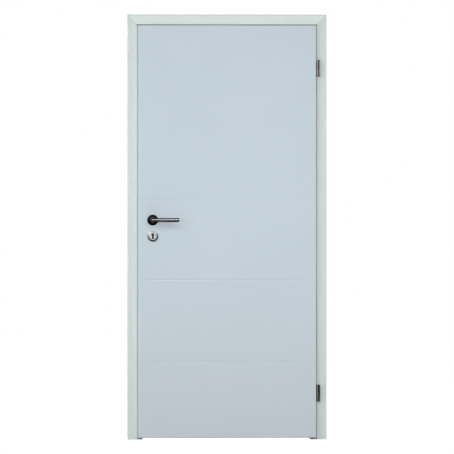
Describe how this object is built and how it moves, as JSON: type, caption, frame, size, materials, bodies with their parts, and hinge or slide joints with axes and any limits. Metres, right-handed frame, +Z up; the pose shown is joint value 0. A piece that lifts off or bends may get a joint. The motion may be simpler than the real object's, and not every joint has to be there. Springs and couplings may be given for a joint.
{
  "type": "interior door",
  "caption": "Hinged interior door: a grooved, rebated leaf in a mitred casing frame, with round lever handles, a bit key lock and two knuckle hinges.",
  "frame": {"origin": "at floor level on the back of the hinge side front casing, in the middle of the part of it that lies against the wall", "axes": "+Z up; +Y into the wall, from the side that the door opens to towards the back, so the wall's front face is y = 0; +X along the wall, from the lock side to the hinge side"},
  "size_m": [0.961, 0.236, 2.043],
  "materials": {
    "leaf_lacquer": "smooth satin lacquer, pale blue-grey white",
    "core_board": "raw chipboard",
    "frame_lacquer": "smooth satin lacquer, pale grey-green white",
    "seal_rubber": "matt, light grey",
    "satin_steel": "satin, finely brushed",
    "hinge_steel": "satin",
    "lock_steel": "bright zinc plated"
  },
  "bodies": {
    "frame": {"strike_front_casing": "frame_lacquer", "hinge_front_casing": "frame_lacquer", "head_front_casing": "frame_lacquer", "strike_back_casing": "frame_lacquer", "hinge_back_casing": "frame_lacquer", "head_back_casing": "frame_lacquer", "strike_jamb_lining": "frame_lacquer", "hinge_jamb_lining": "frame_lacquer", "head_lining": "frame_lacquer", "strike_jamb_seal": "seal_rubber", "hinge_jamb_seal": "seal_rubber", "head_seal": "seal_rubber", "strike_plate": "lock_steel", "upper_hinge_frame_knuckle": "hinge_steel", "upper_hinge_pocket": "lock_steel", "lower_hinge_frame_knuckle": "hinge_steel", "lower_hinge_pocket": "lock_steel"},
    "leaf": {"leaf_front_skin": "leaf_lacquer", "leaf_back_skin": "leaf_lacquer", "leaf_lock_stile": "leaf_lacquer", "leaf_hinge_stile": "leaf_lacquer", "leaf_top_rail": "leaf_lacquer", "leaf_bottom_rail": "leaf_lacquer", "leaf_core": "core_board", "front_lever_rosette": "satin_steel", "back_lever_rosette": "satin_steel", "front_key_rosette": "satin_steel", "back_key_rosette": "satin_steel", "upper_hinge_leaf_knuckle": "hinge_steel", "lower_hinge_leaf_knuckle": "hinge_steel", "lock_case": "lock_steel", "latch_bolt": "lock_steel", "dead_bolt": "lock_steel"},
    "handle": {"front_lever": "satin_steel", "back_lever": "satin_steel", "lever_spindle": "lock_steel"}
  },
  "joints": [
    {"name": "leaf_swing", "type": "hinge", "parent": "frame", "child": "leaf", "pos_m": [-0.0235, -0.02825, 0.2235], "axis": [0, 0, 1], "range_deg": [0, 170]},
    {"name": "lever_turn", "type": "hinge", "parent": "leaf", "child": "handle", "pos_m": [-0.8234, -0.0155, 1.055], "axis": [0, 1, 0], "range_deg": [0, 45], "stiffness_Nm_per_rad": 1.5, "springref_deg": -28.65}
  ]
}
